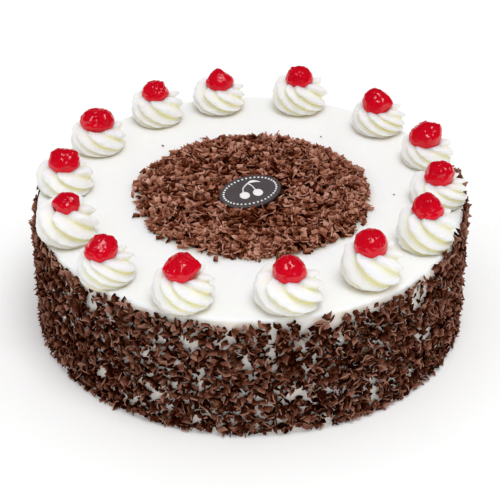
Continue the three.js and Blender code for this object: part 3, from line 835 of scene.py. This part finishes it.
def rosette(number, finish):
    """A star-nozzle swirl: ridges that lean over their lower grooves, turn clockwise as they rise and end in
    a ragged crown around the cherry, which has pressed its seat in."""
    low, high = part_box(f"rosette_{number:02d}")
    axis = (low + high) / 2
    half = ROSETTE_DRAWN_IN * half_width(low, high)
    height = high.z - low.z
    fruit_low, fruit_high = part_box(f"cherry_{number:02d}")
    fruit_axis = (fruit_low + fruit_high) / 2
    fruit_middle = fruit_axis.z - low.z
    fruit = CHERRY_GROW * half_width(fruit_low, fruit_high)
    fruit_half = CHERRY_GROW * (fruit_high.z - fruit_low.z) / 2

    dip = math.asin(min(1, (fruit_middle - CROWN_RISE * height) / fruit_half))
    angles = np.linspace(dip, math.pi / 2, SEAT_ROWS + 2)[:-1]
    seat_levels = fruit_middle - fruit_half * np.sin(angles)
    seat = np.stack([SEAT_TIGHT * fruit * np.cos(angles), seat_levels], axis=-1)
    profile = rosette_profile(number, half, height, seat)

    random = np.random.default_rng(ROSETTE_SEED + number)
    ridges, around, wave = ridge_wave(random)
    rows, columns = len(profile), ridges * RIDGE_COLUMNS
    strength = np.repeat(random.uniform(*RIDGE_STRENGTHS, ridges), RIDGE_COLUMNS)
    start = random.uniform(0, 2 * math.pi)
    rise = np.clip(np.arange(rows) / (ROSETTE_ROWS - 1), 0, 1)[:, None]
    depth = read_off(GROOVE_DEPTH, rise)
    depth[ROSETTE_ROWS:] = 0
    flare = read_off(CREST_FLARE, rise)
    radius = profile[:, :1] * (1 - depth * strength * (1 - wave) + flare * strength * wave)
    pitch = 2 * math.pi / ridges
    lean = RIDGE_LEAN * pitch * read_off(RIDGE_LEANING, rise)
    turn = ROSETTE_TWIST * (0.4 * rise + 0.6 * (1 - (1 - rise) ** 2))
    around = around + start - turn - lean * wave
    crest_lift = read_off(CREST_LIFT, rise)
    crest_lift[ROSETTE_ROWS:] = 0
    lift = profile[:, 1:] + height * crest_lift * (wave * strength - CREST_MEAN)
    points = turned_points(radius, lift, around)

    crest = np.broadcast_to(wave, (rows, columns)).reshape(-1)
    wobble = np.zeros(len(points))
    for waves, seed, all_over, on_crest in RIDGE_WOBBLES:
        wobble += (all_over + on_crest * crest) * MM * noise_at(points, waves, number + seed)
    flat = points * (1, 1, 0)
    points = points + flat / np.maximum(np.linalg.norm(flat, axis=1)[:, None], 1e-6) * wobble[:, None]

    vertices = np.vstack([[(0, 0, profile[0, 1])], points, [(0, 0, fruit_middle - fruit_half)]])
    slide = np.repeat(np.interp(rise[:, 0], [CROWN_START, 1], [0, 1]), columns)
    slide = np.concatenate([[0], slide, [1]])[:, None] * (fruit_axis.x - axis.x, fruit_axis.y - axis.y, 0)
    vertices += slide + (axis.x, axis.y, low.z)
    # Painted shade: darker, yellower cream in the grooves, less of it higher up, and at the foot under the
    # swell
    foot_shade = FOOT_SHADE * np.clip(FOOT_RISE - rise, 0, 1) / FOOT_RISE
    groove = np.clip((1 - wave) * (1 - 0.5 * rise) + foot_shade, 0, 1)
    groove = np.concatenate([[1], groove.reshape(-1), [0]])
    make_piece(
        f"piped_rosette_{number:02d}",
        vertices,
        ring_faces(rows, columns),
        finish,
        f"rosette_{number:02d}",
        sharp=ROSETTE_CREASE,
        values={"groove": groove},
    )


# Glazed cherries

def cherry(number, finish):
    """A glazed cherry: a squashed ball with its own lumps and dents, wrinkled above its seat."""
    low, high = (np.array(corner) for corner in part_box(f"cherry_{number:02d}"))
    polar = np.linspace(-math.pi / 2, math.pi / 2, CHERRY_ROWS + 2)[1:-1, None]
    rings = turned_points(np.cos(polar), np.sin(polar), bearings(CHERRY_COLUMNS))
    ball = np.vstack([[(0, 0, -1)], rings, [(0, 0, 1)]])
    upper = np.clip((ball[:, 2] + 0.6) / 0.7, 0, 1)
    swell = CHERRY_SWELL * noise_at(ball, 1.5, number)
    crumpled = np.clip(0.6 + 0.8 * noise_at(ball, 1.4, number + 30), 0.25, 1)
    folds = np.zeros(len(ball))
    for depth, waves, seed in CHERRY_FOLDS:
        folds += depth * np.abs(noise_at(ball, waves, number + seed))
    swell += crumpled * folds
    rise, fall = math.sin(CAMERA_ELEVATION), math.cos(CAMERA_ELEVATION)
    for right, up, toward, amount, width in CHERRY_LUMPS[number]:
        direction = np.array((right, up * rise - toward * fall, up * fall + toward * rise))
        angle = np.arccos(np.clip(ball @ direction / np.linalg.norm(direction), -1, 1))
        swell += amount * np.exp(-((angle / width) ** 2))
    shape = ball * (1 + upper * swell)[:, None]
    share = (shape - shape.min(0)) / (shape.max(0) - shape.min(0))
    middle = (low + high) / 2
    grown = CHERRY_GROW * (high - low)
    make_piece(
        f"glazed_cherry_{number:02d}",
        middle + grown * (share - 0.5),
        ring_faces(CHERRY_ROWS, CHERRY_COLUMNS),
        finish,
        f"cherry_{number:02d}",
        # depth rises low down, where the painted glow is brightest and the gloss weakest
        values={"depth": np.clip(0.85 - 0.75 * share[:, 2], 0, 1)},
    )


# The plaque

def oval_ring(long_half, short_half, level):
    """One ring of the plaque's points in its frame."""
    around = bearings(PLAQUE_COLUMNS)
    return np.stack([long_half * np.cos(around), short_half * np.sin(around), level + 0 * around], axis=-1)


def plaque(finish):
    """The oval plate, its edge eased and its face slightly crowned."""
    long_half, short_half = PLAQUE_HALF
    half = PLAQUE_THICKNESS / 2
    quarter = np.radians(np.linspace(0, 90, 5))
    edge = [(PLAQUE_EASE * (1 - math.sin(a)), -half + PLAQUE_EASE * (1 - math.cos(a))) for a in quarter]
    edge += [(PLAQUE_EASE * (1 - math.cos(a)), half - PLAQUE_EASE * (1 - math.sin(a))) for a in quarter]
    rings = [oval_ring(long_half - inset, short_half - inset, level) for inset, level in edge]
    for share in (0.8, 0.6, 0.4, 0.2):
        rings.append(oval_ring(share * long_half, share * short_half, half + PLAQUE_CROWN * (1 - share)))
    vertices = np.vstack([[(0, 0, -half)], *rings, [(0, 0, half + PLAQUE_CROWN)]])
    faces = ring_faces(len(rings), PLAQUE_COLUMNS)
    middle, axes = plaque_frame()
    vertices = vertices @ axes.T + middle
    make_piece("oval_plaque", vertices, faces, finish, "plaque", sharp=PLAQUE_CREASE)


def dome(x, y, radius, height, sides):
    """Vertices and faces of a low drop of icing in the plaque's frame."""
    rings = [(1.0, 0.0), (0.86, 0.6), (0.5, 0.93)]
    points = [(x, y, 0)]
    for share, rise in rings:
        for a in bearings(sides):
            points.append((x + share * radius * math.cos(a), y + share * radius * math.sin(a), rise * height))
    points.append((x, y, height))
    return np.array(points), ring_faces(len(rings), sides)


def stroke(path, widths):
    """Vertices and faces of a raised line of icing in the plaque's frame, its path and widths given in mm."""
    path = smooth_curve(np.array(path) * MM, 4 * len(path))
    given = np.linspace(0, 1, len(widths))
    widths = np.interp(np.linspace(0, 1, len(path)), given, np.array(widths) * MM)
    along = np.gradient(path, axis=0)
    across = np.stack([-along[:, 1], along[:, 0]], axis=-1) / np.linalg.norm(along, axis=1)[:, None]
    points = []
    for middle, side, width in zip(path, across, widths):
        for share, rise in ((1, 0), (0.6, STROKE_HEIGHT), (-0.6, STROKE_HEIGHT), (-1, 0)):
            points.append((*(middle + share * width / 2 * side), rise))
    faces = [(0, 1, 2, 3)]
    for station in range(len(path) - 1):
        a = 4 * station
        faces += [(a + k, a + 4 + k, a + 4 + (k + 1) % 4, a + (k + 1) % 4) for k in range(4)]
    end = 4 * (len(path) - 1)
    faces.append((end + 3, end + 2, end + 1, end))
    return np.array(points), faces


def plaque_icing(finish):
    """A plain border of dots with a pair of cherries inside it, piped in white on the plaque."""
    parts = []
    for a in bearings(BORDER_DOTS):
        parts.append(dome(BORDER_HALF[0] * math.cos(a), BORDER_HALF[1] * math.sin(a), **DOT))
    parts += [dome(x * MM, y * MM, **ICED_FRUIT) for x, y in ICED_FRUIT_MIDDLES]
    parts += [stroke(path, STALK_WIDTHS) for path in STALKS]
    parts.append(stroke(LEAF, LEAF_WIDTHS))
    vertices, faces = [], []
    for points, shape in parts:
        start = sum(len(done) for done in vertices)
        vertices.append(points)
        faces += [tuple(start + k for k in face) for face in shape]
    lifted = np.concatenate(vertices) + (0, 0, PLAQUE_THICKNESS / 2 - ICING_SINK)
    middle, axes = plaque_frame()
    placed = lifted @ axes.T + middle
    make_piece("plaque_icing", placed, faces, finish, "plaque", sharp=ICING_CREASE)


# Floor, light and camera

def stage_floor():
    corners = [(x * FLOOR_HALF, y * FLOOR_HALF, 0) for x, y in ((-1, -1), (1, -1), (1, 1), (-1, 1))]
    mesh = bpy.data.meshes.new("floor")
    mesh.from_pydata(corners, [], [(0, 1, 2, 3)])
    mesh.materials.append(floor_finish())
    add_object("floor", mesh)


def studio_light():
    """Even white light from all around, which leaves no reflections, and a round softbox above."""
    world = bpy.data.worlds.new("soft_white")
    world.use_nodes = True
    background = world.node_tree.nodes["Background"]
    background.inputs["Color"].default_value = (1, 1, 1, 1)
    background.inputs["Strength"].default_value = SKY_STRENGTH
    world.cycles_visibility.glossy = False
    bpy.context.scene.world = world

    light = bpy.data.lights.new("overhead_softbox", "AREA")
    light.shape = "DISK"
    light.size = SOFTBOX_SIZE
    light.energy = SOFTBOX_POWER
    lamp = add_object("overhead_softbox", light)
    lamp.location = SOFTBOX_PLACE
    lamp.rotation_euler = (CAMERA_TARGET - Vector(SOFTBOX_PLACE)).to_track_quat("-Z", "Y").to_euler()


def photo_camera():
    back = Vector((0, -math.cos(CAMERA_ELEVATION), math.sin(CAMERA_ELEVATION)))
    camera = add_object("camera", bpy.data.cameras.new("camera"))
    camera.data.lens = CAMERA_LENS
    camera.data.sensor_width = CAMERA_SENSOR
    camera.data.clip_end = CAMERA_REACH
    camera.location = CAMERA_TARGET + CAMERA_DISTANCE * back
    camera.rotation_euler = (-back).to_track_quat("-Z", "Y").to_euler()
    bpy.context.scene.camera = camera


def main():
    photo_camera()
    bpy.context.scene.view_settings.view_transform = "Standard"
    shaded_side_chocolate = chocolate_finish("shaded_side_chocolate", SIDE_TONES, SIDE_EDGE_TONE)
    heap_chocolate = chocolate_finish("heap_chocolate", HEAP_TONES, HEAP_EDGE_TONE)
    cream_coat(cream_coat_finish())
    side_shavings(shaded_side_chocolate)
    heap_core(heap_chocolate)
    heap_shavings(heap_chocolate)
    crumbs(heap_chocolate)
    piped_cream = piped_cream_finish()
    glazed_cherry = cherry_finish()
    for number in TOPPINGS:
        rosette(number, piped_cream)
        cherry(number, glazed_cherry)
    plaque(plaque_finish())
    plaque_icing(icing_finish())
    stage_floor()
    studio_light()


main()
